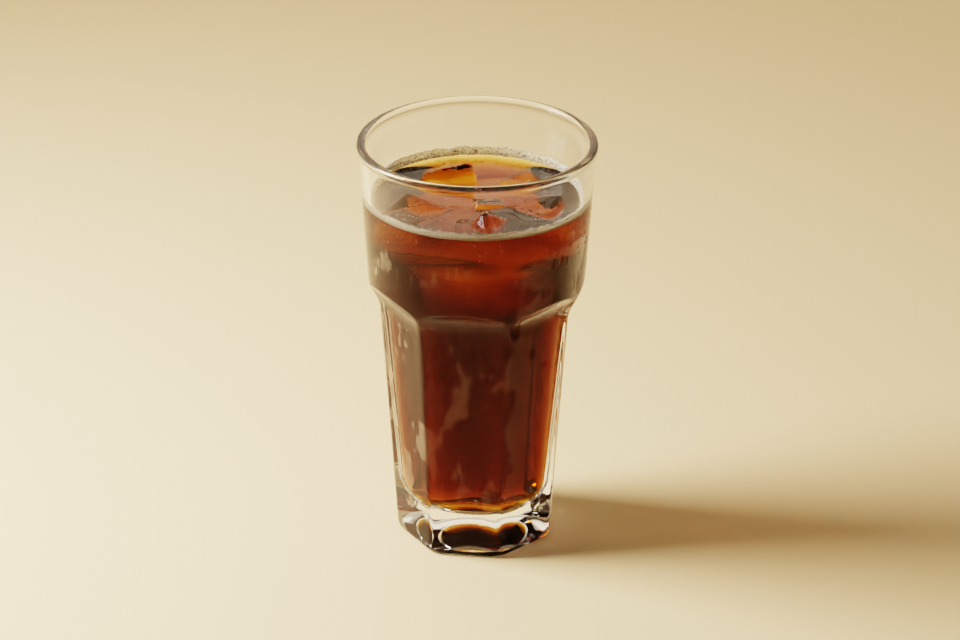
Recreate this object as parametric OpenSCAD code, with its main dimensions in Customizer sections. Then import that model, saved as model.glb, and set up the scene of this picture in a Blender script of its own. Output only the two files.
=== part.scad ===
// Iced cold brew coffee in a tall panelled tumbler.
// Origin at the middle of the foot, +Z up, the side with the widest view of one flat panel towards -Y.

/* [Glass] */
// Overall height of the glass
glass_h = 153.7; // [125:0.1:200]
// Widest diameter, across the lip
rim_d = 86; // [76:0.5:110]
// Diameter across the drum, where the shoulder ends
drum_d = 78.2; // [74:0.2:96]
// Diameter across the panel edges, where the shoulder begins
waist_d = 69.7; // [60:0.1:84]
// Diameter across the panel edges at the foot
foot_d = 56.9; // [48:0.1:70]
// Height at which the shoulder begins
shoulder_z = 89.2; // [70:0.1:110]
// Height of the shoulder's curve
shoulder_h = 12.5; // [8:0.5:16]
// Thickness of the drum's wall
wall = 3; // [2:0.1:4]
// Thickness of the rounded lip
lip_t = 3.2; // [2.4:0.1:4.5]

/* [Panels] */
// Number of flat panels round the lower part
panel_count = 7; // [7:1:10]
// Turn of the front panel's middle away from -Y, in degrees
panel_turn = -7.9; // [-25:0.1:25]
// Distance of a flat from the axis, as a share of the radius at the panel edges
panel_depth = 0.911; // [0.905:0.001:0.95]
// Radius of the scoop that ends each panel in an arch
arch_r = 20; // [12:0.5:26]
// Distance from the start of the scoop up to the start of the shoulder
arch_drop = 1.3; // [0:0.1:5]

/* [Base and cavity] */
// Thickness of the glass under the drink
base_t = 14.7; // [8:0.1:20]
// Wall behind a flat, measured at the foot
foot_wall = 6; // [4:0.1:8]
// Wall behind a flat, measured where the shoulder begins
waist_wall = 3.4; // [2.4:0.1:5]
// Radius of the round corner at the bottom of the cavity
cavity_round = 7; // [4:0.5:16]
// Radius of the rounded foot under the panel edges
foot_round = 3.5; // [2:0.5:6]
// Radius of the rounded lower edge of each flat
flat_round = 2; // [1:0.1:3]
// Diameter of the hollow under the foot
recess_d = 43; // [30:0.5:44]
// Depth of the hollow under the foot
recess_h = 7.5; // [0.5:0.1:9]

/* [Drink] */
// Distance from the top of the lip down to the coffee
headroom = 22; // [18:0.5:32]
// Height of the froth that clings to the wall
foam_h = 4; // [2:0.1:6]
// Thickness of the froth at the coffee's surface
foam_t = 1; // [0.6:0.1:1.4]

/* [Ice] */
// Depth below the surface at which the cubes are fitted between the walls
ice_reach = 26; // [20:1:32]
// Space kept between that depth's wall and the ring of cubes
ice_gap = 0.8; // [0.4:0.1:3]
// Size of the cubes, 1 being as packed here
ice_size = 1; // [0.7:0.01:1]
// How much narrower a cube is at its lower end
ice_draft = 0.92; // [0.8:0.01:1]
// Radius of a cube's melted edges, as a share of its width
ice_round = 0.13; // [0.08:0.01:0.2]

/* [Hidden] */
$fn = 96;
ICE_FN = 16;
EPS = 0.01;

lip_r = lip_t / 2;
rim_r = rim_d / 2;
foot_r = foot_d / 2;
waist_r = waist_d / 2;
drum_r = drum_d / 2;
shoulder_top = shoulder_z + shoulder_h;
lip_z = glass_h - lip_r;
// the drum meets the lip's bead a little inside its widest line
bead = 0.35;
drum_slope = (rim_r - bead - drum_r) / (lip_z - shoulder_top);
panel_slope = (waist_r - foot_r) / shoulder_z;
level = glass_h - headroom;
CURVE_STEPS = 10;
ROUND_STEPS = 6;

// Smooth step from 0 to 1
function ease(t) = (1 - cos(180 * t)) / 2;
function mix(a, b, t) = a + (b - a) * t;

// Outer radius of the revolved body at the panel edges, and the distance of a flat from the axis
function edge_r(z) = foot_r + panel_slope * z;
function flat_r(z) = panel_depth * edge_r(z);
// Outer radius of the drum, above the shoulder
function drum_at(z) = drum_r + drum_slope * (z - shoulder_top);
// Radius of the cavity below the shoulder, in the shoulder and in the drum
function low_cavity_r(z) =
    mix(flat_r(0) - foot_wall, flat_r(shoulder_z) - waist_wall, z / shoulder_z);
function cavity_r(z) =
    z <= shoulder_z ? low_cavity_r(z)
    : z < shoulder_top ? mix(low_cavity_r(shoulder_z), drum_r - wall, ease((z - shoulder_z) / shoulder_h))
    : drum_at(z) - wall;

// Points of an arc round a centre, from angle a to angle b
function arc(c, r, a, b, steps) =
    [for (i = [0 : steps]) let (t = a + (b - a) * i / steps) [c[0] + r * cos(t), c[1] + r * sin(t)]];

// Outside of the glass, from the foot up to the lip
function outer_path() = concat(
    arc([edge_r(foot_round) - foot_round, foot_round], foot_round, -90, 0, ROUND_STEPS),
    [for (i = [0 : CURVE_STEPS]) [mix(waist_r, drum_r, ease(i / CURVE_STEPS)),
                                  shoulder_z + shoulder_h * i / CURVE_STEPS]],
    [[rim_r - bead, lip_z - lip_r]],
    arc([rim_r - lip_r, lip_z], lip_r, 0, 180, 2 * ROUND_STEPS));

// Inside of the glass, from the axis at the bottom of the cavity up to height top
function cavity_path(top) =
    let (cz = base_t + cavity_round,
         low = arc([low_cavity_r(cz) - cavity_round, cz], cavity_round, -90, 0, 2 * ROUND_STEPS),
         bend = [for (i = [0 : CURVE_STEPS]) let (z = shoulder_z + shoulder_h * i / CURVE_STEPS)
                 [cavity_r(z), z]])
    concat([[0, base_t]], low, [for (p = bend) if (p[1] < top - EPS) p], [[cavity_r(top), top]]);

function reversed(list) = [for (i = [len(list) - 1 : -1 : 0]) list[i]];

// Half of the glass's section, before the panels are cut
function glass_section() =
    concat([[0, 0]], outer_path(), reversed(cavity_path(lip_z - lip_r)));

// One panel's cut: a flat that follows the taper, ends upwards in a round scoop and is rounded
// under its lower edge
module panel_cut() {
    reach = rim_r;
    tilt = atan(panel_slope * panel_depth);
    scoop_z = shoulder_z - arch_drop;
    round_x = flat_r(0) - flat_round * (1 - sin(tilt)) / cos(tilt);
    translate([flat_r(0), 0, 0]) rotate([0, tilt, 0]) {
        translate([0, -reach, -foot_r]) cube([reach, 2 * reach, foot_r + scoop_z]);
        translate([arch_r, 0, scoop_z]) across(2 * reach, arch_r);
    }
    difference() {
        translate([round_x, -reach, -1]) cube([reach, 2 * reach, 1 + flat_round * (1 - sin(tilt))]);
        translate([round_x, 0, flat_round]) across(2 * reach + 2, flat_round);
    }
}

// A cylinder lying along Y
module across(length, r) {
    rotate([90, 0, 0]) cylinder(h = length, r = r, center = true);
}

// Shallow hollow that leaves the glass standing on a ring
module recess() {
    dome_r = (pow(recess_d / 2, 2) + pow(recess_h, 2)) / (2 * recess_h);
    translate([0, 0, recess_h - dome_r]) sphere(r = dome_r);
}

module glass() {
    color([0.86, 0.92, 0.9, 0.35])
    difference() {
        rotate_extrude() polygon(glass_section());
        for (i = [0 : panel_count - 1])
            rotate([0, 0, panel_turn - 90 + 360 * i / panel_count]) panel_cut();
        recess();
    }
}

// The drink fills the cavity up to its level, round the ice
module coffee() {
    color([0.28, 0.09, 0.03])
    difference() {
        rotate_extrude() polygon(concat(cavity_path(level), [[0, level]]));
        for (row = ICE) ice_cube(row);
    }
}

// Froth left on the wall just over the drink, thinner towards its upper edge
module foam() {
    thin = foam_t / 3;
    color([0.89, 0.81, 0.62])
    rotate_extrude()
        polygon([[cavity_r(level) - foam_t, level],
                 [cavity_r(level), level],
                 [cavity_r(level + foam_h), level + foam_h],
                 [cavity_r(level + foam_h) - thin, level + foam_h]]);
}

// Free radius for the ice at the depth that the cubes reach down to
bed_r = cavity_r(level - ice_reach) - ice_gap;

// The cubes that break the surface. Shares of the free radius: x, y, depth of the middle and
// width. Then the tilt about X and about Y, and the turn about Z, in degrees.
ICE = [
    [-0.235,  0.463, 0.242, 0.560, 42, -13,   6],
    [ 0.490,  0.407, 0.202, 0.420,  6,  -7,  38],
    [-0.635, -0.242, 0.230, 0.520, 13,  11, -30],
    [ 0.084, -0.101, 0.146, 0.323, -7,   7,  14],
    [ 0.646, -0.180, 0.213, 0.478, 13, -13, -20],
    [ 0.124, -0.652, 0.242, 0.478, 36,  30,  36],
];

// A melting cube: rounded edges, and slightly narrower at its lower end
module ice_cube(row) {
    width = row[3] * bed_r * ice_size;
    r = ice_round * width;
    half = width / 2 - r;
    color([0.84, 0.72, 0.5, 0.6])
    translate([row[0] * bed_r, row[1] * bed_r, level - row[2] * bed_r])
    rotate([0, 0, row[6]]) rotate([0, row[5], 0]) rotate([row[4], 0, 0])
        hull()
            for (x = [-1, 1], y = [-1, 1], z = [-1, 1])
                let (k = z < 0 ? ice_draft : 1)
                translate([x * (k * width / 2 - r), y * (k * width / 2 - r), z * half])
                    sphere(r = r, $fn = ICE_FN);
}

module ice_1() { ice_cube(ICE[0]); }
module ice_2() { ice_cube(ICE[1]); }
module ice_3() { ice_cube(ICE[2]); }
module ice_4() { ice_cube(ICE[3]); }
module ice_5() { ice_cube(ICE[4]); }
module ice_6() { ice_cube(ICE[5]); }

glass();
coffee();
foam();
ice_1();
ice_2();
ice_3();
ice_4();
ice_5();
ice_6();
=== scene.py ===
"""Iced cold brew coffee in a tall panelled tumbler, on a pale floor in soft light from the left."""

import math
import random

import bmesh
import bpy
from mathutils import Euler, Matrix, Vector, noise
from mathutils.bvhtree import BVHTree


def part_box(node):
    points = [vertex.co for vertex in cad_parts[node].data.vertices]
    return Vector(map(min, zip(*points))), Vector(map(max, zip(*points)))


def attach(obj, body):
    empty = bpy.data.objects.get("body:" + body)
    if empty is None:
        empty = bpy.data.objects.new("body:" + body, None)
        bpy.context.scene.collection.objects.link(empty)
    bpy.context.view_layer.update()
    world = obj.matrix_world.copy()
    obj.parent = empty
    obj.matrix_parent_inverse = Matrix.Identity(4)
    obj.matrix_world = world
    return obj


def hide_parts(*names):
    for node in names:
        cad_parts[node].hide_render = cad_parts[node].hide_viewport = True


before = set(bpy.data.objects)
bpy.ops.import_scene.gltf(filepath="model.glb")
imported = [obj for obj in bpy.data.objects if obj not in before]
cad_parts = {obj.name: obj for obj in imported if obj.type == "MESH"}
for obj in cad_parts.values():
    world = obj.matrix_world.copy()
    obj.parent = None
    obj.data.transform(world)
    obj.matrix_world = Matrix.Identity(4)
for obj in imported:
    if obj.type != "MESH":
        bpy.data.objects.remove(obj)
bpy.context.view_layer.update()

MM = 0.001
TAU = 2 * math.pi

# ---------------------------------------------------------------- sizes, in millimetres
GLASS_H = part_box("glass")[1].z / MM
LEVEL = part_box("coffee")[1].z / MM
CAVITY_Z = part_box("coffee")[0].z / MM
FOAM_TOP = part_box("foam")[1].z / MM

RIM_R = 43.0
DRUM_R = 39.1
WAIST_R = 34.85
FOOT_R = 28.45
SHOULDER_Z = 89.2
SHOULDER_H = 12.5
WALL = 3.0
LIP_R = 1.6
BEAD = 0.35
PANELS = 7
PANEL_TURN = math.radians(-7.9)
PANEL_DEPTH = 0.911
ARCH_R = 20.0
ARCH_Z = SHOULDER_Z - 1.3
FOOT_WALL = 6.0
WAIST_WALL = 3.4
CAVITY_ROUND = 7.0
FOOT_ROUND = 3.5
FLAT_ROUND = 2.0
RECESS_R = 21.5
RECESS_H = 7.5

LIP_Z = GLASS_H - LIP_R
SHOULDER_TOP = SHOULDER_Z + SHOULDER_H
DRUM_SLOPE = (RIM_R - BEAD - DRUM_R) / (LIP_Z - SHOULDER_TOP)
PANEL_SLOPE = (WAIST_R - FOOT_R) / SHOULDER_Z


def mix(a, b, t):
    return a + (b - a) * t


def ease(t):
    return (1 - math.cos(math.pi * min(max(t, 0), 1))) / 2


def soft_max(a, b, k):
    """The larger of two numbers, with the corner between them rounded over k."""
    return -soft_min(-a, -b, k)


def soft_min(a, b, k):
    """The smaller of two numbers, with the corner between them rounded over k."""
    h = max(k - abs(a - b), 0) / k
    return min(a, b) - h * h * k / 4


def edge_r(z):
    return FOOT_R + PANEL_SLOPE * z


def outer_r(z):
    """Radius of the body of revolution outside."""
    if z <= SHOULDER_Z:
        return edge_r(z)
    if z < SHOULDER_TOP:
        return mix(WAIST_R, DRUM_R, ease((z - SHOULDER_Z) / SHOULDER_H))
    return DRUM_R + DRUM_SLOPE * (z - SHOULDER_TOP)


def flat_r(z):
    """Distance of a panel from the axis: a taper that ends upwards in a round scoop."""
    r = PANEL_DEPTH * edge_r(z)
    if z > ARCH_Z:
        rise = min(z - ARCH_Z, ARCH_R * 0.999)
        r += ARCH_R - math.sqrt(ARCH_R ** 2 - rise ** 2)
    if z < FLAT_ROUND:
        r -= FLAT_ROUND - math.sqrt(FLAT_ROUND ** 2 - (FLAT_ROUND - max(z, 0)) ** 2)
    return r


def cavity_r(z):
    waist = PANEL_DEPTH * WAIST_R - WAIST_WALL
    if z <= SHOULDER_Z:
        return mix(PANEL_DEPTH * FOOT_R - FOOT_WALL, waist, z / SHOULDER_Z)
    if z < SHOULDER_TOP:
        return mix(waist, DRUM_R - WALL, ease((z - SHOULDER_Z) / SHOULDER_H))
    return outer_r(z) - WALL


# ---------------------------------------------------------------- mesh helpers
def arc(cx, cz, r, start, end, steps):
    """Points of an arc in the section plane, angles in degrees."""
    out = []
    for i in range(steps + 1):
        a = math.radians(mix(start, end, i / steps))
        out.append((cx + r * math.cos(a), cz + r * math.sin(a)))
    return out


def rows(low, high, step):
    """Heights from low to high, about step apart."""
    n = max(1, round((high - low) / step))
    return [mix(low, high, i / n) for i in range(n + 1)]


def revolve(outline, steps):
    """A bmesh: the outline, given as (radius, height), spun once round the axis."""
    bm = bmesh.new()
    verts = [bm.verts.new((r, 0, z)) for r, z in outline]
    edges = [bm.edges.new(pair) for pair in zip(verts, verts[1:])]
    bmesh.ops.spin(bm, geom=verts + edges, cent=(0, 0, 0), axis=(0, 0, 1), dvec=(0, 0, 0),
                   angle=TAU, steps=steps, use_merge=True)
    bmesh.ops.remove_doubles(bm, verts=bm.verts, dist=1e-4)
    bmesh.ops.recalc_face_normals(bm, faces=bm.faces)
    return bm


def add_piece(name, bm, material, node=None, smooth=True):
    """Turns a bmesh in millimetres into a piece that rides with the glass."""
    bmesh.ops.scale(bm, vec=(MM, MM, MM), verts=bm.verts)
    mesh = bpy.data.meshes.new(name)
    bm.to_mesh(mesh)
    bm.free()
    for polygon in mesh.polygons:
        polygon.use_smooth = smooth
    piece = bpy.data.objects.new(name, mesh)
    bpy.context.scene.collection.objects.link(piece)
    mesh.materials.append(material)
    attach(piece, "root")
    if node:
        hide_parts(node)
    return piece


# ---------------------------------------------------------------- materials
# How strongly each bends light, against air; SAME leaves it straight
GLASS_INDEX = 1.5
COFFEE_INDEX = 1.333
ICE_INDEX = 1.31
BUBBLE_INDEX = 1.12
SAME = 1.0
# What coffee lets through of red, green and blue, and how dense it is, per metre
COFFEE_COLOUR = (0.811, 0.595, 0.0)
COFFEE_DENSITY = 370
# How much of its true reflection the glass and the water on it give, in red, green and blue
GLASS_GLARE = (0.42, 0.3, 0.25)
WATER_GLARE = (0.8, 0.55, 0.45)
FROTH_CELLS = 1100


def new_material(name):
    material = bpy.data.materials.new(name)
    material.use_nodes = True
    tree = material.node_tree
    return material, tree, tree.nodes["Principled BSDF"]


def absorb(tree, colour, density):
    volume = tree.nodes.new("ShaderNodeVolumeAbsorption")
    volume.inputs["Color"].default_value = (*colour, 1)
    volume.inputs["Density"].default_value = density
    out = tree.nodes["Material Output"]
    tree.links.new(volume.outputs[0], out.inputs["Volume"])


def clear_material(name, index, glare=(1, 1, 1)):
    """A clear material: its index against what lies outside it, and how much it reflects."""
    material, tree, shader = new_material(name)
    shader.inputs["Base Color"].default_value = (1, 1, 1, 1)
    shader.inputs["Roughness"].default_value = 0.0
    shader.inputs["IOR"].default_value = index
    shader.inputs["Specular Tint"].default_value = (*glare, 1)
    shader.inputs["Transmission Weight"].default_value = 1
    return material


def coffee_material():
    """Coffee: its surface bends light by another amount against air, glass and ice."""
    material, tree, shader = new_material("cold_brew")
    shader.inputs["Base Color"].default_value = (1, 1, 1, 1)
    shader.inputs["Roughness"].default_value = 0.0
    shader.inputs["IOR"].default_value = COFFEE_INDEX
    shader.inputs["Transmission Weight"].default_value = 1
    index = tree.nodes.new("ShaderNodeAttribute")
    index.attribute_name = "surface_index"
    tree.links.new(index.outputs["Fac"], shader.inputs["IOR"])
    absorb(tree, COFFEE_COLOUR, COFFEE_DENSITY)
    return material


def froth_material():
    """Wet cream-coloured froth, with fine darker cells."""
    material, tree, shader = new_material("wet_froth")
    place = tree.nodes.new("ShaderNodeTexCoord")
    cells = tree.nodes.new("ShaderNodeTexVoronoi")
    cells.inputs["Scale"].default_value = FROTH_CELLS
    tone = tree.nodes.new("ShaderNodeValToRGB")
    tone.color_ramp.elements[0].position = 0.15
    tone.color_ramp.elements[0].color = (0.85, 0.73, 0.52, 1)
    tone.color_ramp.elements[1].position = 0.55
    tone.color_ramp.elements[1].color = (0.98, 0.91, 0.75, 1)
    tree.links.new(place.outputs["Object"], cells.inputs["Vector"])
    tree.links.new(cells.outputs["Distance"], tone.inputs["Fac"])
    tree.links.new(tone.outputs["Color"], shader.inputs["Base Color"])
    shader.inputs["Roughness"].default_value = 0.35
    shader.inputs["IOR"].default_value = 1.2
    shader.inputs["Transmission Weight"].default_value = 0.7
    return material


def trapped_air_material():
    material, tree, shader = new_material("trapped_air")
    shader.inputs["Base Color"].default_value = (0.97, 0.95, 0.92, 1)
    shader.inputs["Roughness"].default_value = 0.6
    shader.inputs["Transmission Weight"].default_value = 0.3
    shader.inputs["IOR"].default_value = 1.2
    return material


def froth_bubble_material():
    material, tree, shader = new_material("froth_bubble")
    shader.inputs["Base Color"].default_value = (0.99, 0.93, 0.80, 1)
    shader.inputs["Roughness"].default_value = 0.1
    shader.inputs["Transmission Weight"].default_value = 0.75
    shader.inputs["IOR"].default_value = 1.2
    return material


GLASS = clear_material("clear_glass", GLASS_INDEX, GLASS_GLARE)
GLASS_IN_COFFEE = clear_material("clear_glass_under_coffee", SAME)
ICE = clear_material("wet_ice", ICE_INDEX)
ICE_IN_COFFEE = clear_material("ice_under_coffee", SAME)
COFFEE = coffee_material()
FROTH = froth_material()
FROTH_BUBBLE = froth_bubble_material()
TRAPPED_AIR = trapped_air_material()
BUBBLE = clear_material("thin_bubble", BUBBLE_INDEX)
WATER = clear_material("water_drops", COFFEE_INDEX, WATER_GLARE)

# ---------------------------------------------------------------- the tumbler
COLUMNS_PER_PANEL = 48
PANEL_EDGE_ROUND = 0.5


def glass_outline():
    dome = (RECESS_R ** 2 + RECESS_H ** 2) / (2 * RECESS_H)
    edge = math.degrees(math.asin(RECESS_R / dome))
    recess = arc(0, RECESS_H - dome, dome, 90, 90 - edge, 20)
    foot = arc(edge_r(FOOT_ROUND) - FOOT_ROUND, FOOT_ROUND, FOOT_ROUND, -90, 0, 8)
    body = [(outer_r(z), z) for z in rows(FOOT_ROUND + 0.6, SHOULDER_Z - 2, 3)]
    shoulder = [(outer_r(z), z) for z in rows(SHOULDER_Z - 1.5, SHOULDER_TOP + 4, 0.5)]
    drum = [(outer_r(z), z) for z in rows(SHOULDER_TOP + 6, LIP_Z - 2.5, 4)]
    lip = arc(RIM_R - LIP_R, LIP_Z, LIP_R, -20, 200, 20)
    inside = [(cavity_r(z), z) for z in reversed(rows(SHOULDER_TOP, LIP_Z - 2.5, 4))]
    bend = [(cavity_r(z), z) for z in reversed(rows(SHOULDER_Z, SHOULDER_TOP - 0.8, 0.8))]
    corner_z = CAVITY_Z + CAVITY_ROUND
    low = [(cavity_r(z), z) for z in reversed(rows(corner_z + 2, SHOULDER_Z - 2, 4))]
    corner = arc(cavity_r(corner_z) - CAVITY_ROUND, corner_z, CAVITY_ROUND, 0, -90, 16)
    floor = [(corner[-1][0] * (1 - i / 3), CAVITY_Z) for i in range(1, 4)]
    return recess + foot + body + shoulder + drum + lip + inside + bend + low + corner + floor


def panel_offset(x, y):
    """Angle from the middle of the nearest panel."""
    turn = math.atan2(x, -y) - PANEL_TURN
    step = TAU / PANELS
    return turn - step * round(turn / step)


def make_glass():
    bm = revolve(glass_outline(), PANELS * COLUMNS_PER_PANEL)
    # turn the columns so that each panel edge has one
    bmesh.ops.rotate(bm, verts=bm.verts, cent=(0, 0, 0),
                     matrix=Matrix.Rotation(PANEL_TURN - TAU / 4, 3, "Z"))
    for v in bm.verts:
        x, y, z = v.co
        r = math.hypot(x, y)
        on_outside = z < LIP_Z - 3 and r > cavity_r(z) + 0.5 and r > RECESS_R + 0.5
        if on_outside and z < SHOULDER_TOP + 5:
            limit = flat_r(z) / math.cos(panel_offset(x, y))
            new_r = soft_min(r, limit, PANEL_EDGE_ROUND)
            v.co.x *= new_r / r
            v.co.y *= new_r / r
    top = rest_height(cavity_r(LEVEL))
    for face in bm.faces:
        x, y, z = face.calc_center_median()
        inside = math.hypot(x, y) < cavity_r(max(z, CAVITY_Z)) + 0.3 and z > CAVITY_Z - 0.5
        face.material_index = 1 if inside and z < top else 0
    piece = add_piece("tumbler", bm, GLASS, "glass")
    piece.data.materials.append(GLASS_IN_COFFEE)


# ---------------------------------------------------------------- the ice
# The cubes that break the surface: shares of the free radius (x, y, depth of the middle, width),
# then the tilts about X and Y and the turn about Z in degrees.
FREE_R = cavity_r(LEVEL - 26) - 0.8
FLOATING = [
    (-0.235, 0.463, 0.242, 0.560, 42, -13, 6),
    (0.490, 0.407, 0.202, 0.420, 6, -7, 38),
    (-0.635, -0.242, 0.230, 0.520, 13, 11, -30),
    (0.084, -0.101, 0.146, 0.323, -7, 7, 14),
    (0.646, -0.180, 0.213, 0.478, 13, -13, -20),
    (0.124, -0.652, 0.242, 0.478, 36, 30, 36),
]
# The cubes held wholly under the surface, in the same terms
SUNK = [
    (-0.20, -0.40, 0.69, 0.56, 10, 37, -25),
    (0.50, 0.03, 0.79, 0.56, 9, 5, -17),
    (-0.05, 0.36, 0.92, 0.56, 2, -6, -21),
    (0.39, -0.58, 0.77, 0.39, 42, 40, -19),
    (-0.69, 0.18, 0.68, 0.42, 0, -9, -2),
    (-0.53, -0.12, 1.06, 0.36, 43, -17, -4),
    (0.09, -0.40, 1.15, 0.34, 8, 37, -34),
]
# How many of them are cut out of the coffee, which covers the last one all over
CUT_OUT = 5
# Thickness of the coffee that lies on each floating cube; below zero the cube stands clear
FILM = (-0.5, 0.2, -0.15, 0.35, 0.3, 0.35)


def ice_place(row):
    x, y, depth, share, tilt_x, tilt_y, turn = row
    place = Matrix.Translation((x * FREE_R, y * FREE_R, LEVEL - depth * FREE_R))
    turns = Euler([math.radians(a) for a in (tilt_x, tilt_y, turn)], "XYZ").to_matrix().to_4x4()
    return place @ turns


def ice_shape(row, seed):
    """A cube with melted edges and dented faces."""
    width = row[3] * FREE_R
    bm = bmesh.new()
    bmesh.ops.create_cube(bm, size=width)
    for v in bm.verts:
        if v.co.z < 0:
            v.co.x *= 0.92
            v.co.y *= 0.92
    bmesh.ops.bevel(bm, geom=bm.edges[:] + bm.verts[:], offset=0.13 * width, offset_type="OFFSET",
                    segments=4, profile=0.5, affect="EDGES", material=-1, clamp_overlap=True)
    bmesh.ops.triangulate(bm, faces=[f for f in bm.faces if len(f.verts) > 4])
    long_edges = [e for e in bm.edges if e.calc_length() > 2]
    bmesh.ops.subdivide_edges(bm, edges=long_edges, cuts=11, use_grid_fill=True)
    bmesh.ops.remove_doubles(bm, verts=bm.verts, dist=1e-3)
    bm.normal_update()
    offset = Vector((seed * 17.3, seed * 5.1, seed * 9.7))
    for v in bm.verts:
        dent = noise.noise(v.co * 0.15 + offset) * 0.7 + noise.noise(v.co * 0.42 + offset) * 0.22
        v.co += v.normal * (dent - 0.35)
    bmesh.ops.transform(bm, matrix=ice_place(row), verts=bm.verts)
    bmesh.ops.recalc_face_normals(bm, faces=bm.faces)
    return bm


floating_shapes = [ice_shape(row, i) for i, row in enumerate(FLOATING, 1)]
sunk_shapes = [ice_shape(row, 20 + i) for i, row in enumerate(SUNK, 1)]
ICE_TOPS = [BVHTree.FromBMesh(bm) for bm in floating_shapes]

# ---------------------------------------------------------------- the drink
INTO_WALL = 0.08
MENISCUS = 1.3
MENISCUS_W = 1.4
SKIN_BLUR = 0.55
SKIN_ROUND = 1.8
ICE_GAP = 0.05
# The pale pocket among the ice: its radius, its heights above and below POCKET_Z, how far
# it narrows below, how near it may come to the wall, and which way it bulges
POCKET_R = 31
POCKET_UP = 13
POCKET_DOWN = 28
POCKET_NECK = 0.4
POCKET_Z = 116
POCKET_LIMIT = 34
GLOW_WAY = Vector((0.15, -0.95, 0.28))


def rest_height(r):
    """Height of the liquid by itself, drawn up at the wall."""
    wall = cavity_r(LEVEL) + INTO_WALL
    return LEVEL + MENISCUS * math.exp(-(wall - r) / MENISCUS_W)


def skin_at(x, y):
    """Height of the coffee's skin, which drapes over the floating cubes."""
    z = rest_height(min(math.hypot(x, y), cavity_r(LEVEL)))
    for tree, film in zip(ICE_TOPS, FILM):
        hit = tree.ray_cast(Vector((x, y, GLASS_H)), Vector((0, 0, -1)))[0]
        if hit:
            z = soft_max(z, hit.z + film, SKIN_ROUND)
    return z


def skin_height(x, y):
    """The skin, evened out over a small disc."""
    total = 2 * skin_at(x, y)
    for i in range(6):
        a = TAU * i / 6
        total += skin_at(x + SKIN_BLUR * math.cos(a), y + SKIN_BLUR * math.sin(a))
    swell = noise.noise(Vector((x * 0.12, y * 0.12, 3.7))) * 0.25
    return total / 8 + swell


def coffee_outline():
    corner_z = CAVITY_Z + CAVITY_ROUND
    bottom = CAVITY_Z - INTO_WALL
    corner = arc(cavity_r(corner_z) - CAVITY_ROUND, corner_z, CAVITY_ROUND + INTO_WALL, -90, 0, 16)
    low = [(cavity_r(z) + INTO_WALL, z) for z in rows(corner_z + 2, SHOULDER_Z - 2, 4)]
    bend = [(cavity_r(z) + INTO_WALL, z) for z in rows(SHOULDER_Z, SHOULDER_TOP, 0.8)]
    drum = [(cavity_r(z) + INTO_WALL, z) for z in rows(SHOULDER_TOP + 2, LEVEL, 4)]
    wall = cavity_r(LEVEL) + INTO_WALL
    top = [(wall - d, rest_height(wall - d)) for d in (0, 0.3, 0.7, 1.2, 1.8, 2.6, 3.4)]
    inner = [(r, LEVEL) for r in reversed(rows(0, wall - 4.0, 0.55))]
    return [(0, bottom)] + corner + low + bend + drum + top + inner


def joined(shapes, shrink):
    """One mesh in metres of several shapes, each drawn in by shrink."""
    mesh = bpy.data.meshes.new("cutter")
    whole = bmesh.new()
    for shape in shapes:
        shape.to_mesh(mesh)
        whole.from_mesh(mesh)
    whole.normal_update()
    for v in whole.verts:
        v.co -= v.normal * shrink
    bmesh.ops.scale(whole, vec=(MM, MM, MM), verts=whole.verts)
    whole.to_mesh(mesh)
    whole.free()
    mesh.materials.append(COFFEE)
    return mesh


def carve(piece, cutter_mesh):
    """Cuts a mesh's shape out of a piece."""
    cutter = bpy.data.objects.new("cutter", cutter_mesh)
    bpy.context.scene.collection.objects.link(cutter)
    cut = piece.modifiers.new("cut", "BOOLEAN")
    cut.operation = "DIFFERENCE"
    cut.solver = "MANIFOLD"
    cut.object = cutter
    bpy.context.view_layer.update()
    graph = bpy.context.evaluated_depsgraph_get()
    done = bpy.data.meshes.new_from_object(piece.evaluated_get(graph), depsgraph=graph)
    piece.modifiers.clear()
    piece.data = done
    bpy.data.objects.remove(cutter)


def melt_pocket():
    """The room of ice and pale melt water, where nothing darkens: a lumpy ball on a stem."""
    bm = bmesh.new()
    bmesh.ops.create_icosphere(bm, subdivisions=5, radius=1)
    for v in bm.verts:
        lump = noise.noise(v.co * 1.7 + Vector((4, 0, 2))) * 0.22
        glow = max(0, v.co.dot(GLOW_WAY)) ** 8 * 0.12
        half = POCKET_UP if v.co.z > 0 else POCKET_DOWN
        width = POCKET_R * (1 - POCKET_NECK * math.sin(math.pi * max(0, -v.co.z)))
        v.co = Vector((v.co.x * width, v.co.y * width, v.co.z * half)) * (1 + lump + glow)
        reach = math.hypot(v.co.x, v.co.y)
        v.co.x *= min(1, POCKET_LIMIT / max(reach, 1))
        v.co.y *= min(1, POCKET_LIMIT / max(reach, 1))
        v.co.z = min(v.co.z + POCKET_Z, LEVEL - 2.5)
    return bm


def make_coffee():
    """The drink; surface_index says how each face bends light against what it touches."""
    bm = revolve(coffee_outline(), 240)
    wall = cavity_r(LEVEL) + INTO_WALL
    index_layer = bm.faces.layers.float.new("surface_index")
    for v in bm.verts:
        x, y, z = v.co
        if z > LEVEL - 0.01 and math.hypot(x, y) < wall - 0.2:
            v.co.z = skin_height(x, y)
    for face in bm.faces:
        x, y, z = face.calc_center_median()
        on_top = z > LEVEL - 1 and math.hypot(x, y) < cavity_r(z) - 0.05
        face[index_layer] = COFFEE_INDEX if on_top else COFFEE_INDEX / GLASS_INDEX
    piece = add_piece("coffee_drink", bm, COFFEE, "coffee")
    carve(piece, joined(floating_shapes[:CUT_OUT], ICE_GAP))
    carve(piece, joined([melt_pocket()], 0))
    # the renderer follows the coffee's body only where all of its faces are of one kind
    for polygon in piece.data.polygons:
        polygon.material_index = 0
        polygon.use_smooth = True
    index = piece.data.attributes["surface_index"]
    for entry in index.data:
        if entry.value < 0.5:
            entry.value = SAME


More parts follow.
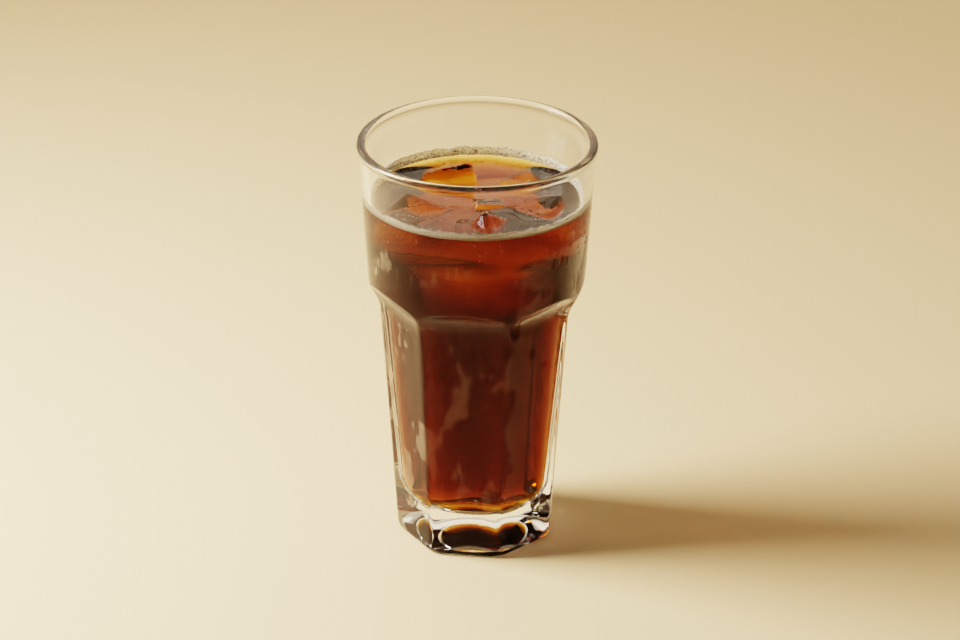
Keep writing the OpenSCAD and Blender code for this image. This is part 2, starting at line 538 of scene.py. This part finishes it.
def add_ice(name, bm, node):
    """A floating cube, whose faces under the coffee's skin don't bend light."""
    for face in bm.faces:
        x, y, z = face.calc_center_median()
        face.material_index = 1 if z < LEVEL - 1 or z < skin_height(x, y) + 0.02 else 0
    piece = add_piece(name, bm, ICE, node)
    piece.data.materials.append(ICE_IN_COFFEE)


def make_ice():
    for i, bm in enumerate(floating_shapes, 1):
        add_ice(f"ice_cube_{i}", bm, f"ice_{i}")
    for i, bm in enumerate(sunk_shapes, 1):
        add_piece(f"sunk_ice_{i}", bm, ICE_IN_COFFEE)


BUBBLES_IN_CUBE = 26
BUBBLES_ROUND_CUBE = 90
FROTH_BUBBLES = 2600
# The larger bubbles on the coffee: x, y and radius
LONE_BUBBLES = (
    (18.6, -12.4, 0.95), (21.2, -15.0, 0.75), (15.7, -10.0, 0.45), (4.2, -4.6, 0.5),
    (6.4, -5.6, 0.4), (-8.5, -17.0, 0.5), (9.0, 20.5, 0.5), (-20.5, 2.0, 0.4),
)


def make_ice_bubbles():
    """Specks of trapped air in the hearts of the floating cubes."""
    draw = random.Random(7)
    bm = bmesh.new()
    for row in FLOATING:
        width = row[3] * FREE_R
        place = ice_place(row)
        for _ in range(BUBBLES_IN_CUBE):
            spot = Vector([draw.uniform(-0.3, 0.3) * width for _ in range(3)])
            size = draw.uniform(0.1, 0.24)
            bmesh.ops.create_icosphere(bm, subdivisions=1, radius=size,
                                       matrix=place @ Matrix.Translation(spot))
    add_piece("ice_bubbles", bm, TRAPPED_AIR)


def make_froth():
    """A ragged band of froth that clings to the wall above the coffee."""
    wall = cavity_r(LEVEL)
    low = rest_height(wall) - 0.7
    outline = []
    for t in (0, 0.15, 0.3, 0.45, 0.6, 0.75, 0.9, 1.0):
        z = mix(low, FOAM_TOP - 0.3, t)
        outline.append((cavity_r(z) - 0.75 * (1 - t) ** 0.7 - 0.12, z))
    outline.append((cavity_r(FOAM_TOP) + 0.02, FOAM_TOP - 0.3))
    outline.append((cavity_r(low) + 0.02, low))
    outline.append(outline[0])
    bm = revolve(outline, 480)
    for v in bm.verts:
        x, y, z = v.co
        r = math.hypot(x, y)
        a = math.atan2(y, x)
        ragged = noise.noise(Vector((math.cos(a) * 5, math.sin(a) * 5, 1))) * 0.7
        ragged += noise.noise(Vector((math.cos(a) * 22, math.sin(a) * 22, 9))) * 0.5
        t = max(0, (z - low) / (FOAM_TOP - low))
        v.co.z += (ragged - 0.5) * t
        if r < cavity_r(z) - 0.05:
            lump = noise.noise(Vector((x, y, z)) * 0.9) * 0.16
            v.co.x *= 1 - lump / r
            v.co.y *= 1 - lump / r
    add_piece("froth_ring", bm, FROTH, "foam")


def make_bubbles():
    """Bubbles in the froth and round the cubes, and a few larger ones alone."""
    draw = random.Random(11)
    bm = bmesh.new()

    def bubble(x, y, z, size):
        bmesh.ops.create_icosphere(bm, subdivisions=1, radius=size,
                                   matrix=Matrix.Translation((x, y, z)))

    for _ in range(FROTH_BUBBLES):
        a = draw.uniform(0, TAU)
        size = draw.uniform(0.12, 0.42)
        z = rest_height(cavity_r(LEVEL)) - 0.8 + abs(draw.gauss(0, 1.4))
        if z > FOAM_TOP - 0.4:
            continue
        r = cavity_r(z) - size - 0.75 * max(0, 1 - (z - LEVEL) / 4)
        bubble(r * math.cos(a), r * math.sin(a), z, size)
    for tree, row in zip(ICE_TOPS, FLOATING):
        for _ in range(BUBBLES_ROUND_CUBE):
            a = draw.uniform(0, TAU)
            reach = row[3] * FREE_R * draw.uniform(0.35, 0.85)
            x, y = row[0] * FREE_R + reach * math.cos(a), row[1] * FREE_R + reach * math.sin(a)
            z = skin_height(x, y)
            if math.hypot(x, y) < cavity_r(LEVEL) - 1.5 and LEVEL + 0.15 < z < LEVEL + 1.4:
                size = draw.uniform(0.1, 0.3)
                bubble(x, y, z + size * 0.2, size)
    add_piece("froth_bubbles", bm, FROTH_BUBBLE)
    bm = bmesh.new()
    for x, y, size in LONE_BUBBLES:
        spot = Matrix.Translation((x, y, skin_height(x, y) + size * 0.3))
        bmesh.ops.create_icosphere(bm, subdivisions=3, radius=size, matrix=spot)
    add_piece("surface_bubbles", bm, BUBBLE)


# ---------------------------------------------------------------- water on the outside
WET_LOW = 12
WET_HIGH = 129
WET_COLUMNS = 400
WET_ROWS = 190
FILM_BACK = 0.008
FILM_EDGE = 0.012
FILM_DEEPEST = 0.05
SIDE_DROPS = 70
LOOSE_DROPS = 150


def outside_at(a, z):
    """Point of the glass's outer surface and the way outwards; a runs from -Y towards +X."""
    x, y = math.sin(a), -math.cos(a)
    r = outer_r(z)
    if z < SHOULDER_TOP + 5:
        r = soft_min(r, flat_r(z) / math.cos(panel_offset(x, y)), PANEL_EDGE_ROUND)
    return Vector((r * x, r * y, z)), Vector((x, y, 0))


def wetness(a, z):
    """Above zero where water lies: in patches, in streaks on the drum, and all over one side."""
    x, y = math.sin(a), -math.cos(a)
    damp = min(0.8, (a - 0.3) * 4) if 0.3 < a < 1.25 and 22 < z < 124 else 0
    if z < SHOULDER_Z:
        broad = noise.noise(Vector((x * 3.2, y * 3.2, z * 0.06)))
        fine = noise.noise(Vector((x * 11, y * 11, z * 0.24)))
        return broad * 0.9 + fine * 0.4 - 0.15 - 0.2 * abs(z - 48) / 40 + damp
    streaks = noise.noise(Vector((x * 30, y * 30, z * 0.07)))
    spread = noise.noise(Vector((x * 2.5, y * 2.5, z * 0.1 + 8)))
    return streaks * 0.5 + spread - 0.5 + damp


def make_water_film():
    """Thin patches of condensed water with wavy outlines."""
    bm = bmesh.new()
    bmesh.ops.create_grid(bm, x_segments=WET_COLUMNS, y_segments=WET_ROWS, size=0.5)
    for v in bm.verts:
        v.co = Vector(((v.co.x + 0.5) * TAU, mix(WET_LOW, WET_HIGH, v.co.y + 0.5), 0))
    dry = []
    for face in bm.faces:
        a, z, _ = face.calc_center_median()
        if wetness(a, z) < 0:
            dry.append(face)
    bmesh.ops.delete(bm, geom=dry, context="FACES")
    grown = bmesh.ops.extrude_face_region(bm, geom=bm.faces[:], use_keep_orig=True)
    tops = {e for e in grown["geom"] if isinstance(e, bmesh.types.BMVert)}
    for v in bm.verts:
        a, z, _ = v.co
        point, out = outside_at(a, z)
        top = min(max(wetness(a, z), 0) * 0.2, FILM_DEEPEST) + FILM_EDGE
        v.co = point + out * (top if v in tops else FILM_BACK)
    bmesh.ops.remove_doubles(bm, verts=bm.verts, dist=1e-4)
    bmesh.ops.recalc_face_normals(bm, faces=bm.faces)
    for edge in bm.edges:
        edge.smooth = edge.calc_face_angle(0) < 0.5
    add_piece("water_film", bm, WATER)


def make_water_drops():
    """Small drops: a column on the left, a cluster on the drum's right, the rest all over."""
    draw = random.Random(5)
    bm = bmesh.new()
    spots = [(-1.02, z, 0.3) for z in (58, 60.6, 64, 67.5, 71)]
    for _ in range(SIDE_DROPS):
        spots.append((draw.gauss(0.95, 0.22), draw.uniform(100, 130), draw.uniform(0.15, 0.5)))
    for _ in range(LOOSE_DROPS):
        spots.append((draw.uniform(0, TAU), draw.uniform(14, 130), draw.uniform(0.08, 0.26)))
    for a, z, size in spots:
        point, out = outside_at(a, z)
        turn = out.to_track_quat("Z", "Y").to_matrix().to_4x4()
        flat = Matrix.Diagonal((size, size * draw.uniform(1, 1.5), size * 0.5, 1))
        bmesh.ops.create_icosphere(bm, subdivisions=2, radius=1,
                                   matrix=Matrix.Translation(point) @ turn @ flat)
    add_piece("water_drops", bm, WATER)


make_glass()
make_coffee()
make_ice_bubbles()
make_froth()
make_bubbles()
make_ice()
make_water_film()
make_water_drops()


# ---------------------------------------------------------------- floor, light and camera
FLOOR_COLOUR = (0.80, 0.565, 0.30)
FLOOR_HALF = 4


def make_floor():
    bm = bmesh.new()
    bmesh.ops.create_grid(bm, x_segments=4, y_segments=4, size=FLOOR_HALF)
    mesh = bpy.data.meshes.new("floor")
    bm.to_mesh(mesh)
    bm.free()
    floor = bpy.data.objects.new("floor", mesh)
    bpy.context.scene.collection.objects.link(floor)
    material, tree, shader = new_material("pale_floor")
    shader.inputs["Base Color"].default_value = (*FLOOR_COLOUR, 1)
    shader.inputs["Roughness"].default_value = 0.9
    mesh.materials.append(material)


def area_light(name, place, target, size, power, spread=180, colour=(1, 1, 1)):
    data = bpy.data.lights.new(name, "AREA")
    data.shape = "RECTANGLE"
    data.size, data.size_y = size
    data.energy = power
    data.color = colour
    data.spread = math.radians(spread)
    light = bpy.data.objects.new(name, data)
    light.location = place
    light.rotation_euler = (Vector(target) - Vector(place)).to_track_quat("-Z", "Y").to_euler()
    light.visible_camera = False
    bpy.context.scene.collection.objects.link(light)


def make_world():
    """A dim studio: dark towards -Y, a lit backdrop low down towards +Y."""
    world = bpy.data.worlds.new("studio")
    bpy.context.scene.world = world
    world.use_nodes = True
    tree = world.node_tree
    background = tree.nodes["Background"]
    background.inputs["Color"].default_value = (1.0, 0.86, 0.66, 1)
    place = tree.nodes.new("ShaderNodeTexCoord")
    axes = tree.nodes.new("ShaderNodeSeparateXYZ")
    fade = tree.nodes.new("ShaderNodeMapRange")
    fade.interpolation_type = "SMOOTHSTEP"
    fade.inputs["From Min"].default_value = -0.2
    fade.inputs["From Max"].default_value = 0.8
    fade.inputs["To Min"].default_value = 0.07
    fade.inputs["To Max"].default_value = 0.6
    tree.links.new(place.outputs["Generated"], axes.inputs[0])
    tree.links.new(axes.outputs["Y"], fade.inputs["Value"])
    tree.links.new(fade.outputs["Result"], background.inputs["Strength"])


def make_lights():
    area_light("back_card", (-0.1, 1.0, 0.62), (0, 0, 0.1), (1.4, 0.6), 2.3, 180, (1, 0.74, 0.52))
    area_light("key_softbox", (-0.62, 0.01, 0.5), (0.1, -0.1, 0.05), (0.4, 0.4), 9.8, 136)
    make_world()


def make_camera():
    data = bpy.data.cameras.new("camera")
    data.lens = 176.4
    data.sensor_width = 36
    camera = bpy.data.objects.new("camera", data)
    target = Vector((1.24, 0, 83.2)) * MM
    elevation, roll, distance = math.radians(25.15), math.radians(0.28), 1.7006
    camera.location = target + Vector((0, -math.cos(elevation), math.sin(elevation))) * distance
    turn = Matrix.Rotation(math.pi / 2 - elevation, 3, "X") @ Matrix.Rotation(roll, 3, "Z")
    camera.rotation_euler = turn.to_euler()
    bpy.context.scene.collection.objects.link(camera)
    bpy.context.scene.camera = camera


make_floor()
make_lights()
make_camera()
scene = bpy.context.scene
scene.view_settings.view_transform = "Filmic"
scene.view_settings.look = "High Contrast"
scene.cycles.transmission_bounces = 24
scene.cycles.max_bounces = 32
scene.cycles.glossy_bounces = 12
scene.cycles.transparent_max_bounces = 64
